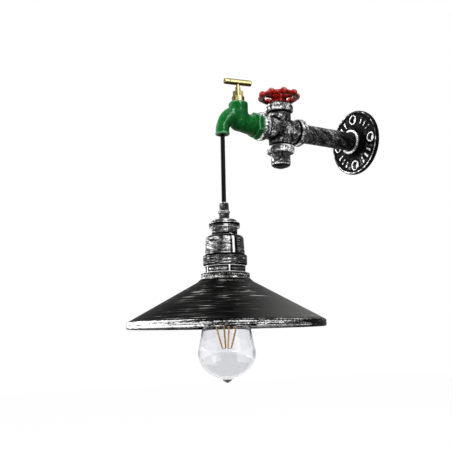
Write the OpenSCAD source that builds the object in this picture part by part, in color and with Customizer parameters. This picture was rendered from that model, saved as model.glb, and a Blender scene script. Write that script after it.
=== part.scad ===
// Wall lamp made of pipe fittings: a wall flange and a pipe carry a four-way cross with a
// hand-wheel, a garden tap whose spout lets down a flex, and a lampholder with a metal shade.
// The wall is the plane y = 0, the pipe runs along -Y at z = 0, and +Z is up.

/* [Wall flange] */
// Outside diameter of the flange
flange_d = 76.6; // [72:1:84]
// Thickness of its plate
flange_t = 4.2; // [3.6:0.1:6]
// Height of the rim and the screw bosses above the plate
flange_relief = 0.8; // [0.4:0.1:1.4]
// Width of the raised rim
flange_rim_w = 2.6; // [1.6:0.1:3.2]
// Outside diameter of the hub
hub_d = 29; // [27:0.5:32]
// Height of the hub above the wall
hub_h = 12.4; // [11:0.2:20]
// Number of screw holes
screw_count = 4; // [3:1:6]
// Diameter of the circle of screw holes
screw_pcd = 56; // [55:0.5:57]
// Diameter of a screw hole
screw_d = 6.4; // [5:0.1:7]
// Diameter of the countersink of a screw hole
screw_sink_d = 9; // [8:0.1:10]
// Diameter of the boss round a screw hole
screw_boss_d = 12.4; // [11.4:0.2:13]

/* [Pipe and cross] */
// Outside diameter of the pipe
pipe_d = 21.3; // [20.6:0.1:22]
// Wall of the pipe
pipe_wall = 2.6; // [2:0.1:3]
// Distance from the wall to the middle of the cross
arm_reach = 114; // [90:1:160]
// Distance from the middle of the cross to its upper and its lower end
cross_reach = 27.5; // [26.5:0.5:32]
// Distance from the middle of the cross to its two ends along the pipe
run_reach = 29.5; // [27:0.5:33]
// Diameter of the beads at its ends
bead_d = 31; // [29:0.5:34]
// Width of a bead
bead_w = 8; // [6:0.2:9]
// Rounding of a bead's edges
bead_edge = 2; // [1:0.1:2.4]
// Outside diameter of its arms
cross_d = 25.4; // [24.6:0.2:27]
// Depth that a pipe or a shank screws into an end
thread_depth = 12.5; // [10:0.5:14]
// Length of the nipple that shows below the cross
nipple_drop = 13; // [8:0.2:30]
// Height of the dome of the plug in its foot
plug_dome_h = 3.6; // [1.5:0.1:6]

/* [Bonnet and hand-wheel] */
// Diameter of the bonnet's collar
bonnet_d = 26; // [24:0.2:29]
// Height of the bonnet's collar
bonnet_h = 1.6; // [1.4:0.1:5]
// Height of the bonnet's small boss
bonnet_boss_h = 0.4; // [0.3:0.1:3]
// Diameter of the wheel's spindle
wheel_spindle_d = 6; // [5:0.1:7]
// Diameter of the wheel over its lobes
wheel_d = 48; // [44:0.5:56]
// Height of the wheel's hub
wheel_hub_h = 11.4; // [9:0.2:16]
// Diameter of the wheel's hub
wheel_hub_d = 17; // [12:0.5:18]
// Thickness of the wheel's round rim
wheel_rim_d = 5.2; // [4:0.2:6]
// Number of lobes on the rim
lobe_count = 9; // [6:1:12]
// Diameter of a lobe
lobe_d = 8; // [7.2:0.2:9.6]
// Height by which the lobes stand above the middle of the rim
lobe_rise = 1; // [0.4:0.1:2.4]
// Number of spokes
spoke_count = 3; // [3:1:5]
// Thickness of a spoke
spoke_d = 5; // [4:0.2:6]
// Width across the flats of the wheel's nut
wheel_nut_w = 9; // [8:0.5:10]
// Height of the wheel's nut
wheel_nut_h = 3; // [2.4:0.2:5]

/* [Tap] */
// Distance from the middle of the cross to the tap's spindle
spindle_reach = 54.6; // [53.6:0.1:62]
// Distance from the tap's spindle to the middle of the spout
spout_reach = 20.6; // [20:0.1:24]
// Depth of the spout's mouth below the pipe's axis
spout_drop = 16.4; // [15.6:0.1:24]
// Outside diameter of the spout
spout_d = 14.4; // [13.6:0.1:15.2]
// Wall of the spout
spout_wall = 2.1; // [1.6:0.1:2.4]
// Radius of the spout's bend at its middle
spout_bend = 18.9; // [17.5:0.1:19.5]
// Width across the flats of the inlet hexagon
tap_hex_w = 26; // [25:0.5:28.5]
// Length of the inlet hexagon
tap_hex_l = 6.6; // [5:0.2:9]
// Diameter of the barrel where it leaves the hexagon
barrel_d = 23; // [21:0.2:24]
// Diameter of the barrel under the spindle
chamber_d = 18.8; // [18:0.2:20]
// Height of the spindle boss above the pipe's axis
boss_h = 22.6; // [21:0.2:28]
// Diameter of the boss
boss_d = 20.8; // [20:0.2:22]
// Growth of the spout's radius for each degree of its bend towards the boss
shoulder_swell = 0.065; // [0:0.005:0.08]

/* [Tap handle] */
// Diameter of the tap's spindle
tap_spindle_d = 5.6; // [5:0.1:6.2]
// Diameter of the gland nut's collar
gland_d = 13.6; // [12.6:0.2:15]
// Height of the gland nut's collar
gland_collar_h = 6; // [3:0.1:7]
// Width across the flats of the gland nut's hexagon
gland_hex_w = 11; // [9.5:0.1:11.5]
// Height of the gland nut's hexagon
gland_hex_h = 6.2; // [4.5:0.1:8]
// Height of the cross bar above the gland nut
tee_rise = 10.7; // [9:0.1:16]
// Length of the cross bar
tee_l = 31; // [24:0.5:40]
// Diameter of the cross bar
tee_d = 6.5; // [5.8:0.1:7]

/* [Flex and cord grip] */
// Diameter of the flex
flex_d = 4.7; // [4.5:0.1:5]
// Free length of flex between the spout and the cord grip
cord_length = 73.4; // [60:0.2:300]
// Height of the grip's tapered nut
grip_nut_h = 11.1; // [9:0.1:14]
// Diameter of the nut at its foot
grip_nut_d = 12.5; // [11.6:0.1:14]
// Diameter of the nut at its top
grip_top_d = 9.1; // [8.6:0.1:10]
// Diameter of the grip's body
grip_body_d = 10.9; // [10.6:0.1:12]
// Height of the grip's body
grip_body_h = 6.4; // [4:0.1:9]

/* [Lampholder] */
// Diameter of the cap's flat top
cap_top_d = 17; // [15:0.2:18]
// Diameter of the cap's dome
cap_dome_d = 26.6; // [25:0.2:28]
// Height of the cap's dome
cap_dome_h = 3.6; // [3:0.1:5]
// Diameter of the cap's stepped ring
cap_ring_d = 31.8; // [30.4:0.2:34]
// Height of the cap's stepped ring
cap_ring_h = 5.6; // [4.4:0.1:8]
// Diameter of the shell's neck
neck_d = 26.5; // [25:0.1:27.5]
// Height of the neck that shows under the cap
neck_h = 7.2; // [5:0.1:12]
// Height of the shell's shoulder
shoulder_h = 4.8; // [3.8:0.1:6]
// Wall of the shell under its shoulder
shell_wall = 1.85; // [1.5:0.05:3]
// Growth of the shell's radius from its shoulder to its foot
shell_flare = 1; // [0.4:0.1:2]
// Height of the shell from the neck to its foot
shell_h = 21.2; // [19:0.1:30]
// Diameter of the threaded spigot below the shell
spigot_d = 38.6; // [38:0.1:39.2]
// Wall of the spigot
spigot_wall = 1.7; // [1.4:0.1:1.9]
// Width of the two seam ribs
seam_w = 2.2; // [1.2:0.1:3]
// Height of the seam ribs above the shell
seam_h = 0.7; // [0.4:0.1:1]
// Angle of the seam ribs from +X
seam_turn = -6; // [-90:1:90]
// Wall of the plain ring
plain_ring_w = 3.1; // [2.2:0.1:5]
// Height of the plain ring
plain_ring_h = 9.8; // [7:0.1:14]
// Wall of the lock ring over its ribs
lock_ring_w = 1.4; // [1.2:0.1:2]
// Height of the lock ring
lock_ring_h = 7.6; // [5.5:0.1:10]
// Number of ribs on the lock ring
lock_rib_count = 5; // [4:1:8]

/* [Shade] */
// Diameter of the shade at its rim
shade_d = 200; // [160:1:240]
// Height of the shade
shade_h = 55; // [45:0.5:70]
// Wall of the shade
shade_wall = 1; // [0.8:0.1:1.2]
// Width of the flat shoulder of the shade's collar
collar_w = 5.5; // [5:0.1:8]
// Height of the shade's collar
collar_h = 6.4; // [5.6:0.1:9]
// Height of the upright band at the rim
rim_h = 7; // [4:0.1:9]

/* [Bulb] */
// Length of the bulb from its contact to its tip
bulb_l = 134.4; // [128:0.2:142]
// Greatest diameter of the glass
bulb_d = 58; // [54:0.5:64]
// Diameter of the screw cap
bulb_cap_d = 26.2; // [26:0.1:26.4]
// Length of the screw cap without its contact
bulb_cap_l = 21.5; // [20:0.1:23]
// Thickness of the glass
glass_wall = 0.8; // [0.6:0.1:1.2]
// Length of a filament
filament_l = 38; // [30:0.5:40]
// Diameter of a filament
filament_d = 1.6; // [1.2:0.1:2]

/* [Hidden] */
$fn = 96;

// Clearances: a screwed or pushed fit, a turning shaft, and a seat across two bodies
fit = 0.1;
run = 0.06;
seat = 0.3;
// Small length by which a cut runs past the face that it opens
past = 0.5;
// Edge breaks: on castings, and on turned pieces
cast_edge = 1;
turned_edge = 0.5;

// Places along the arm
cross_y = -arm_reach;
spindle_y = cross_y - spindle_reach;
spout_y = spindle_y - spout_reach;
// The tap's hexagon seats on the far end of the cross
tap_seat = arm_reach + run_reach;
socket_r = pipe_d / 2 + fit;
pipe_bore_r = pipe_d / 2 - pipe_wall;
cross_bore_r = pipe_bore_r + 0.4;
hub_fillet = 3.5;

// Heights of the hand-wheel's pieces
bonnet_top = cross_reach + bonnet_h + bonnet_boss_h;
bonnet_foot = cross_reach - thread_depth;
wheel_foot = bonnet_top + seat;
wheel_top = wheel_foot + wheel_hub_h;
wheel_mid = wheel_top - 3.6;
lobe_r = wheel_d / 2 - lobe_d / 2;
clip_t = 1;
clip_w = 2.2;
// Resting angles of the wheel's lobes and of its spokes, from +X
wheel_turn = -20;
spoke_turn = 28;

// Heights on the tap
boss_bore_r = 5.6;
chamber_bore_r = 6.5;
cavity_r = 7.2;
cavity_z = 3.5;
packing_z = 12.8;
packing_h = 3;
// Collar that keeps the tap's spindle between the ledge in the boss and the packing
ledge_z = packing_z - 1.8;
collar_r = 4.4;
// Tenon of the spindle in the cross bar
tenon_d = 3.8;
tenon_drop = 2.4;
gland_top = boss_h + gland_collar_h + gland_hex_h;
tee_z = gland_top + tee_rise;
tee_turn = -12;
spindle_foot = 9.4;
spout_bore_r = spout_d / 2 - spout_wall;
bend_z = -spout_drop + 4.4;
bend_y = spout_y + spout_bend;
bush_h = 3.8;
bush_foot = 0.5 - spout_drop;

// Radii of the lampholder: the screw shell round the bulb's cap, then outwards from the spigot
screw_shell_r = bulb_cap_d / 2 + seat;
screw_shell_wall = 0.6;
spigot_r = spigot_d / 2;
spigot_bore_r = spigot_r - spigot_wall;
core_r = spigot_bore_r - fit;
shell_top_r = spigot_bore_r + shell_wall;
shell_foot_r = shell_top_r + shell_flare;
ring_bore_r = spigot_r + fit;
lock_ring_r = ring_bore_r + lock_ring_w;
collar_outer_r = ring_bore_r + collar_w;

// Heights of the hanging pieces, from the cord down
grip_top = bush_foot - cord_length;
grip_collar_h = 2.3;
grip_body_top = grip_top - grip_nut_h;
cap_top = grip_body_top - grip_body_h;
cap_wall = 2;
cap_foot = cap_top - cap_dome_h - cap_ring_h;
neck_foot = cap_foot - neck_h;
neck_top = cap_foot + cap_ring_h - 2;
neck_wall = 2.2;
shell_foot = neck_foot - shell_h;
ring_foot = shell_foot - plain_ring_h;
lock_top = ring_foot - 0.8;
shade_top = lock_top - lock_ring_h;
spigot_foot = shade_top - 7.6;
shade_foot = shade_top - shade_h;
clamp_h = 4;
clamp_top = shade_top - shade_wall;

// Inside the lampholder
core_top = neck_foot - shoulder_h - 1.6;
core_foot = shade_top + 2.4;
core_ceiling = core_top - 5;
contact_t = 1;
contact_dome = 1.2;

// Heights of the bulb
bulb_top = core_ceiling - contact_t - contact_dome - seat;
bulb_button_h = 2;
insulator_h = 3;
bulb_cap_top = bulb_top - bulb_button_h - insulator_h;
bulb_cap_foot = bulb_cap_top - bulb_cap_l;
bulb_cap_wall = 0.5;
bulb_tip = bulb_top - bulb_l;
glass_low = bulb_tip + 4;
glass_wide_z = glass_low + 26;
glass_neck_r = bulb_cap_d / 2 - bulb_cap_wall - fit;
filament_foot_r = 4.7;
filament_lean = 15;
filament_foot_z = glass_wide_z + 4;
filament_top_z = filament_foot_z + filament_l * cos(filament_lean);
filament_top_r = filament_foot_r + filament_l * sin(filament_lean);
filament_turn = -18;
stem_foot = filament_top_z + 3;
wire_d = 0.6;

// Route of the lead inside the arm as [y, z] at x = 0: from the wall through the pipe, then
// from the middle of the cross, and then from the tap's spindle to the spout
lead_in_pipe = [[-0.5, -4.6], [-12, -5.3], [-40, -5.4], [-70, -5.4]];
lead_in_cross = [[16, -5.4], [-4, -4.8], [-16, -3.8]];
lead_in_tap = [[22.6, -3.6], [14.6, -2.2], [8.6, 0.6], [3.6, 3.6], [-1.4, 5.4], [-6.4, 6], [-11.4, 4.3],
    [-15.4, 1], [-18.4, -3.2], [-20.2, -8]];
lead_sides = 10;
cord_ring_step = 12;

// Points on an arc about [cx, cy], from angle a0 to a1 in n steps
function arc(cx, cy, r, a0, a1, n) =
    [for (i = [0:n]) [cx + r * cos(a0 + (a1 - a0) * i / n), cy + r * sin(a0 + (a1 - a0) * i / n)]];

// Point at parameter t on the cubic curve with control points a, b, c and d
function curve_point(a, b, c, d, t) =
    pow(1 - t, 3) * a + 3 * pow(1 - t, 2) * t * b + 3 * (1 - t) * t * t * c + pow(t, 3) * d;

// Points along that curve in n steps
function curve(a, b, c, d, n) = [for (i = [0:n]) curve_point(a, b, c, d, i / n)];

function backwards(points) = [for (i = [len(points) - 1:-1:0]) points[i]];

// Unit vector that stands square to the left of the step from p to q
function left_of(p, q) = [p[1] - q[1], q[0] - p[0]] / norm(q - p);

// Shift of an open outline by w to its left, mitred at each point
function beside(points, w) = [for (i = [0:len(points) - 1])
    let (a = left_of(points[max(i - 1, 0)], points[max(i, 1)]))
    let (b = left_of(points[min(i, len(points) - 2)], points[min(i + 1, len(points) - 1)]))
    points[i] + w * (a + b) / (1 + a * b)];

// Closed outline of a wall of thickness w to the left of an open outline
function wall_outline(points, w) = concat(points, backwards(beside(points, w)));

// Lays a part along the pipe: its own z runs out from the wall, its y runs up
module along_arm(reach = 0) {
    translate([0, -reach, 0]) rotate([90, 0, 0]) children();
}

module around(count, start = 0) {
    for (i = [0:count - 1]) rotate([0, 0, start + i * 360 / count]) children();
}

// Ring between two radii with broken outer edges
module ring(outer_r, inner_r, low, high, edge) {
    rotate_extrude() polygon([[inner_r, low], [outer_r - edge, low], [outer_r, low + edge],
        [outer_r, high - edge], [outer_r - edge, high], [inner_r, high]]);
}

module bore(r, low, high) {
    translate([0, 0, low]) cylinder(r = r, h = high - low);
}

// Hexagonal prism with its corners turned off at the top
module hexagon(flats, low, high, chamfer) {
    corner_r = flats / 2 / cos(30);
    intersection() {
        translate([0, 0, low]) cylinder(r = corner_r, h = high - low, $fn = 6);
        rotate_extrude() polygon([[0, low], [corner_r, low], [corner_r, high - chamfer],
            [corner_r - chamfer * 1.6, high], [0, high]]);
    }
}

// Tube of round section swept along points in space, closed at both ends
module swept_tube(points, r, sides) {
    last = len(points) - 1;
    function heading(i) = let (d = points[min(i + 1, last)] - points[max(i - 1, 0)]) d / norm(d);
    rings = [for (i = [0:last]) for (k = [0:sides - 1])
        let (t = heading(i), v = cross(t, [1, 0, 0]), a = 360 * k / sides)
        points[i] + r * (cos(a) * [1, 0, 0] + sin(a) * v)];
    walls = [for (i = [0:last - 1]) for (k = [0:sides - 1])
        let (a = i * sides + k, b = i * sides + (k + 1) % sides)
        for (face = [[a, b, b + sides], [a, b + sides, a + sides]]) face];
    first_end = [[for (k = [sides - 1:-1:0]) k]];
    last_end = [[for (k = [0:sides - 1]) last * sides + k]];
    polyhedron(rings, concat(first_end, walls, last_end));
}

// Floor flange of malleable iron: plate, raised rim, filleted hub, ringed screw holes
module wall_flange() {
    plate_r = flange_d / 2;
    rim_z = flange_t + flange_relief;
    hub_r = hub_d / 2;
    color("dimgray") along_arm() difference() {
        union() {
            rotate_extrude() polygon(concat(
                [[socket_r, 0], [plate_r - turned_edge, 0], [plate_r, turned_edge]],
                arc(plate_r - cast_edge, rim_z - cast_edge, cast_edge, 0, 90, 4),
                [[plate_r - flange_rim_w, rim_z], [plate_r - flange_rim_w - 0.6, flange_t]],
                arc(hub_r + hub_fillet, flange_t + hub_fillet, hub_fillet, 270, 180, 8),
                arc(hub_r - cast_edge, hub_h - cast_edge, cast_edge, 0, 90, 4),
                [[socket_r + 1.4, hub_h], [socket_r, hub_h - 1.4]]));
            around(screw_count) translate([screw_pcd / 2, 0, 0])
                ring(screw_boss_d / 2, screw_d / 2, flange_t / 2, rim_z, 0.4);
        }
        around(screw_count) translate([screw_pcd / 2, 0, 0]) {
            bore(screw_d / 2, -past, rim_z + past);
            translate([0, 0, rim_z - 1.6])
                cylinder(r1 = screw_d / 2, r2 = screw_sink_d / 2 + past, h = 1.6 + past);
        }
    }
}

// Pipe from the hub of the flange into the near end of the cross
module arm_pipe() {
    foot = 0.6;
    color("gray") along_arm() difference() {
        ring(pipe_d / 2, pipe_bore_r, foot, arm_reach - run_reach + thread_depth, 0.7);
        bore(pipe_bore_r, 0, foot);
    }
}

// One straight run of the cross: two round-edged beads on a narrower tube
module cross_run(reach) {
    arm_r = cross_d / 2;
    bead_r = bead_d / 2;
    bead_foot = reach - bead_w;
    half = concat([[arm_r, 0], [arm_r, bead_foot - 0.8]],
        arc(bead_r - bead_edge, bead_foot + bead_edge, bead_edge, 270, 360, 5),
        arc(bead_r - bead_edge, reach - bead_edge, bead_edge, 0, 90, 5));
    lower = [for (p = backwards(half)) [p[0], -p[1]]];
    rotate_extrude() polygon(concat([[0, -reach]], lower, half, [[0, reach]]));
}

module cross_run_bore(reach) {
    bore(cross_bore_r, -reach - past, reach + past);
    for (side = [0, 180]) rotate([side, 0, 0])
        bore(socket_r, reach - thread_depth - 1, reach + past);
}

// Four-way cross of malleable iron, hollow, with a swelling where its runs meet
module cross_fitting() {
    color("dimgray") translate([0, cross_y, 0]) difference() {
        union() {
            cross_run(cross_reach);
            rotate([90, 0, 0]) cross_run(run_reach);
            sphere(r = cross_d / 2 + 1.9);
        }
        cross_run_bore(cross_reach);
        rotate([90, 0, 0]) cross_run_bore(run_reach);
    }
}

// Short pipe nipple in the lower end of the cross
module bottom_nipple() {
    color("gray") translate([0, cross_y, 0])
        ring(pipe_d / 2, pipe_bore_r, -cross_reach - nipple_drop, thread_depth - cross_reach, 0.8);
}

// Black plug in the mouth of the nipple: a shank, a lip and a low dome
module foot_plug() {
    mouth = -cross_reach - nipple_drop;
    lip_r = pipe_d / 2 - 0.4;
    lip_h = 0.8;
    shank_r = pipe_bore_r - fit;
    color("black") translate([0, cross_y, mouth]) rotate_extrude() polygon(concat(
        [[0, 7], [shank_r - 0.6, 7], [shank_r, 6.4], [shank_r, 0], [lip_r, 0]],
        curve([lip_r, -lip_h], [lip_r - 1, -lip_h - 1.2], [4.6, -plug_dome_h], [3, -plug_dome_h], 8),
        [[0, -plug_dome_h]]));
}

// Bonnet that screws into the top of the cross and carries the wheel's spindle
module valve_bonnet() {
    color("gray") translate([0, cross_y, 0]) difference() {
        union() {
            ring(pipe_d / 2, wheel_spindle_d / 2, bonnet_foot, cross_reach, turned_edge);
            ring(bonnet_d / 2, wheel_spindle_d / 2, cross_reach, cross_reach + bonnet_h, 0.6);
            bore(wheel_hub_d / 2, cross_reach, bonnet_top);
        }
        bore(wheel_spindle_d / 2 + run, bonnet_foot - past, bonnet_top + past);
    }
}

// Spindle that carries the hand-wheel and turns in the bonnet
module wheel_spindle() {
    color("silver") translate([0, cross_y, 0])
        ring(wheel_spindle_d / 2, 0, bonnet_foot - clip_t - seat - 1, wheel_top + wheel_nut_h + 0.8, 0.6);
}

// Open clip that holds the spindle up under the bonnet
module spindle_clip() {
    top = bonnet_foot - seat;
    color("silver") translate([0, cross_y, 0]) difference() {
        ring(wheel_spindle_d / 2 + clip_w, wheel_spindle_d / 2 + run, top - clip_t, top, 0.2);
        translate([0, -wheel_spindle_d / 4, top - clip_t - past])
            cube([wheel_spindle_d, wheel_spindle_d / 2, clip_t + 2 * past]);
    }
}

// Cast hand-wheel: a round rim with lobes that stand up on it, and spokes to a deep hub
module hand_wheel() {
    hub_mid = wheel_foot + wheel_hub_h / 2 - wheel_mid;
    color("firebrick") translate([0, cross_y, wheel_mid]) difference() {
        union() {
            rotate_extrude() translate([lobe_r, 0]) circle(r = wheel_rim_d / 2, $fn = 32);
            around(lobe_count, wheel_turn) translate([lobe_r, 0, lobe_rise]) sphere(d = lobe_d);
            around(spoke_count, spoke_turn) rotate([0, 90, 0]) bore(spoke_d / 2, 0, lobe_r);
            translate([0, 0, hub_mid])
                ring(wheel_hub_d / 2, 0, -wheel_hub_h / 2, wheel_hub_h / 2, 1.6);
        }
        bore(wheel_spindle_d / 2 + fit / 2, wheel_foot - wheel_mid - past, wheel_top - wheel_mid + past);
    }
}

module wheel_nut() {
    color("silver") translate([0, cross_y, 0]) difference() {
        hexagon(wheel_nut_w, wheel_top, wheel_top + wheel_nut_h, 0.6);
        bore(wheel_spindle_d / 2 + fit / 2, wheel_top - past, wheel_top + wheel_nut_h + past);
    }
}

// Barrel of the tap about its inlet axis, z measured out from the wall
module tap_barrel() {
    hex_end = tap_seat + tap_hex_l;
    axis = arm_reach + spindle_reach;
    chamber_r = chamber_d / 2;
    cove = min(2, (tap_hex_w - barrel_d) / 2);
    nose = axis - 2.5;
    rotate_extrude() polygon(concat([[0, tap_seat], [barrel_d / 2 + cove, tap_seat],
        [barrel_d / 2 + cove, hex_end]],
        arc(barrel_d / 2 + cove, hex_end + cove, cove, 270, 180, 6),
        [[chamber_r, nose]], arc(0, nose, chamber_r, 0, 90, 12)));
}

// Upright boss of the tap, round at its foot, z from the pipe's axis
module tap_boss() {
    r = boss_d / 2;
    foot_mid = 1.2;
    shoulder = 2;
    rotate_extrude() polygon(concat(arc(0, foot_mid, r, 270, 360, 12),
        arc(r - shoulder, boss_h - shoulder, shoulder, 0, 90, 6), [[0, boss_h]]));
}

// Quarter bend in the plane x = 0, from level at the spindle to upright at the mouth
module bend(r) {
    translate([0, bend_y, bend_z]) rotate([90, 0, -90])
        rotate_extrude(angle = 90) translate([spout_bend, 0]) circle(r = r, $fn = 48);
}

// Spout whose bend swells towards the boss as a row of close balls along its middle
module spout_shape() {
    r = spout_d / 2;
    bend(r);
    for (turn = [32:6:68])
        translate([0, bend_y - spout_bend * cos(turn), bend_z + spout_bend * sin(turn)])
            sphere(r = r + shoulder_swell * (turn - 26));
    translate([0, spout_y, 0]) ring(r, 0, -spout_drop, bend_z, 0.6);
    translate([0, spout_y, 0]) rotate_extrude() polygon([[0, -spout_drop], [r, -spout_drop],
        [r + 0.4, 0.5 - spout_drop], [r + 0.4, 1.9 - spout_drop], [r, 2.6 - spout_drop],
        [0, 2.6 - spout_drop]]);
}

module tap_hollow() {
    axis = arm_reach + spindle_reach;
    along_arm() bore(chamber_bore_r, tap_seat - thread_depth - past, axis);
    translate([0, spindle_y, cavity_z]) sphere(r = cavity_r);
    translate([0, spindle_y, 0]) {
        bore(tap_spindle_d / 2 + 0.3, cavity_z, boss_h);
        bore(boss_bore_r, ledge_z, boss_h + past);
    }
    bend(spout_bore_r);
    translate([0, bend_y, bend_z + spout_bend]) rotate([-90, 0, 0])
        cylinder(r = spout_bore_r, h = max(spindle_y - bend_y, 0) + 1);
    translate([0, spout_y, 0]) bore(spout_bore_r, -spout_drop - past, bend_z);
}

// Cast body of the tap: threaded inlet, hexagon, barrel, spindle boss and bent spout
module tap_body() {
    color("green") difference() {
        union() {
            along_arm() {
                ring(pipe_d / 2, chamber_bore_r, tap_seat - thread_depth, tap_seat + 1, 0.6);
                rotate([0, 0, 30]) hexagon(tap_hex_w, tap_seat, tap_seat + tap_hex_l, 1);
                tap_barrel();
            }
            translate([0, spindle_y, 0]) tap_boss();
            spout_shape();
        }
        tap_hollow();
    }
}

// Stuffing nut: threaded shank in the boss, round collar, hexagon
module gland_nut() {
    collar_top = boss_h + gland_collar_h;
    color("goldenrod") translate([0, spindle_y, 0]) difference() {
        union() {
            bore(boss_bore_r - fit, packing_z + packing_h, boss_h);
            ring(gland_d / 2, 0, boss_h, collar_top, 0.6);
            hexagon(gland_hex_w, collar_top, gland_top, 0.9);
        }
        bore(tap_spindle_d / 2 + run, 0, gland_top + past);
    }
}

module gland_packing() {
    color("ivory") translate([0, spindle_y, 0]) difference() {
        bore(boss_bore_r - fit, packing_z, packing_z + packing_h);
        bore(tap_spindle_d / 2 + run, packing_z - past, packing_z + packing_h + past);
    }
}

// Spindle of the tap, kept in by its collar: it turns but doesn't rise
module tap_spindle() {
    gap = 0.2;
    shoulder = tee_z - tee_d / 2 - tenon_drop;
    color("goldenrod") translate([0, spindle_y, 0]) {
        ring(tap_spindle_d / 2, 0, spindle_foot, shoulder, 0.4);
        bore(tenon_d / 2, shoulder - 1, tee_z);
        ring(collar_r, 0, ledge_z + gap, packing_z - gap, 0.2);
    }
}

// Cross bar with round ends and a turned groove near each, pushed on the spindle's tenon
module tee_bar() {
    r = tee_d / 2;
    end_edge = 1.3;
    groove_at = tee_l / 2 - 6.5;
    groove_w = 0.9;
    groove_d = 0.5;
    half = concat([[r, 0], [r, groove_at], [r - groove_d, groove_at + groove_w / 2], [r, groove_at + groove_w]],
        arc(r - end_edge, tee_l / 2 - end_edge, end_edge, 0, 90, 4));
    lower = [for (p = backwards(half)) [p[0], -p[1]]];
    color("gold") translate([0, spindle_y, 0]) rotate([0, 0, tee_turn]) difference() {
        translate([0, 0, tee_z]) rotate([90, 0, 0])
            rotate_extrude() polygon(concat([[0, -tee_l / 2]], lower, half, [[0, tee_l / 2]]));
        bore(tenon_d / 2 + fit / 2, tee_z - tee_d, tee_z + fit);
    }
}

// Bush that centres the flex in the spout's mouth
module cord_bush() {
    color("black") translate([0, spout_y, 0])
        ring(spout_bore_r - fit, flex_d / 2 + fit, bush_foot, bush_foot + bush_h, 0.4);
}

// Lead inside the arm, from the wall to the foot of the bush
module arm_lead() {
    inside = concat([for (p = lead_in_pipe) [0, p[0], p[1]]],
        [for (p = lead_in_cross) [0, cross_y + p[0], p[1]]],
        [for (p = lead_in_tap) [0, spindle_y + p[0], p[1]]]);
    straight = [[0, spout_y, bush_foot + bush_h], [0, spout_y, bush_foot]];
    color("black") swept_tube(concat(inside, straight), flex_d / 2, lead_sides);
}

// Free flex between the spout and the cord grip, hanging straight
module pendant_cord() {
    steps = ceil(cord_length / cord_ring_step);
    route = [for (i = [0:steps]) [0, spout_y, bush_foot - cord_length * i / steps]];
    color("black") swept_tube(route, flex_d / 2, lead_sides);
}

// Clamping nut of the cord grip: six flats on a cone over a round foot
module grip_nut() {
    collar_top = grip_body_top + grip_collar_h;
    foot_r = grip_nut_d / 2;
    color("gray") translate([0, spout_y, 0]) difference() {
        union() {
            ring(foot_r, 0, grip_body_top, collar_top, 0.5);
            intersection() {
                translate([0, 0, collar_top])
                    cylinder(r1 = foot_r - 0.1, r2 = grip_top_d / 2, h = grip_top - collar_top);
                translate([0, 0, collar_top])
                    cylinder(r = foot_r - 0.4, h = grip_top - collar_top, $fn = 6);
            }
        }
        bore(flex_d / 2 + fit, grip_body_top - past, grip_top + past);
        bore(grip_body_d / 2 - 1.4 + fit, grip_body_top - past, grip_body_top + 5);
    }
}

// Threaded nipple between the nut and the cap
module grip_body() {
    thread_r = grip_body_d / 2 - 1.4;
    color("gray") translate([0, spout_y, 0]) difference() {
        union() {
            bore(thread_r, cap_top - cap_wall - 1.5, grip_body_top + 4.6);
            ring(grip_body_d / 2, 0, cap_top, grip_body_top, 0.4);
        }
        bore(flex_d / 2 + fit, cap_top - cap_wall - 2, grip_body_top + 5);
    }
}

// End of the flex inside the cord grip and the cap
module holder_lead() {
    color("black") translate([0, spout_y, 0]) bore(flex_d / 2, neck_foot, grip_top);
}

// Cast cap: flat top, rounded dome and a stepped ring that covers the neck
module holder_cap() {
    top_r = cap_top_d / 2;
    dome_r = cap_dome_d / 2;
    ring_r = cap_ring_d / 2;
    ring_top = cap_foot + cap_ring_h;
    color("dimgray") translate([0, spout_y, 0]) difference() {
        rotate_extrude() polygon(concat([[0, cap_foot], [ring_r - turned_edge, cap_foot]],
            arc(ring_r - turned_edge, cap_foot + turned_edge, turned_edge, 270, 360, 2),
            arc(ring_r - cast_edge, ring_top - cast_edge, cast_edge, 0, 90, 4),
            [[dome_r, ring_top]],
            curve([dome_r, ring_top], [dome_r, cap_top - 1.4], [dome_r - 1.6, cap_top - 0.8],
                [top_r, cap_top], 8), [[0, cap_top]]));
        bore(neck_d / 2 + fit, cap_foot - past, neck_top);
        bore(neck_d / 2 - neck_wall, neck_top - past, cap_top - cap_wall);
        bore(grip_body_d / 2 - 1.4 + fit, cap_top - cap_wall - past, cap_top + past);
    }
}

// Outside of the shell, grown by w: neck, rounded shoulder, tapering body
function shell_outline(w) = concat(
    [[neck_d / 2 + w, neck_foot]],
    curve([neck_d / 2 + w, neck_foot + w], [shell_top_r - 1.6 + w, neck_foot - 0.6 + w],
        [shell_top_r + w, neck_foot - shoulder_h / 2], [shell_top_r + w, neck_foot - shoulder_h], 8),
    [[shell_foot_r + w, shell_foot]]);

// Cast bell-shaped shell with a seam rib on each side, and the threaded spigot below
module holder_shell() {
    color("dimgray") translate([0, spout_y, 0]) difference() {
        union() {
            rotate_extrude() polygon(concat([[0, neck_top], [neck_d / 2, neck_top]],
                shell_outline(0), [[0, shell_foot]]));
            intersection() {
                rotate_extrude() polygon(concat([[0, neck_foot]], shell_outline(seam_h),
                    [[0, shell_foot]]));
                translate([0, 0, (neck_foot + shell_foot) / 2]) rotate([0, 0, seam_turn])
                    cube([shell_foot_r * 4, seam_w, shell_h * 1.5], center = true);
            }
            ring(spigot_r, 0, spigot_foot, shell_foot + 1, turned_edge);
        }
        bore(neck_d / 2 - neck_wall, core_top, neck_top + past);
        bore(spigot_bore_r, spigot_foot - past, core_top);
    }
}

// Wide plain ring on the spigot, against the foot of the shell
module plain_ring() {
    color("dimgray") translate([0, spout_y, 0])
        ring(ring_bore_r + plain_ring_w, ring_bore_r, ring_foot, shell_foot, 0.8);
}

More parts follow.
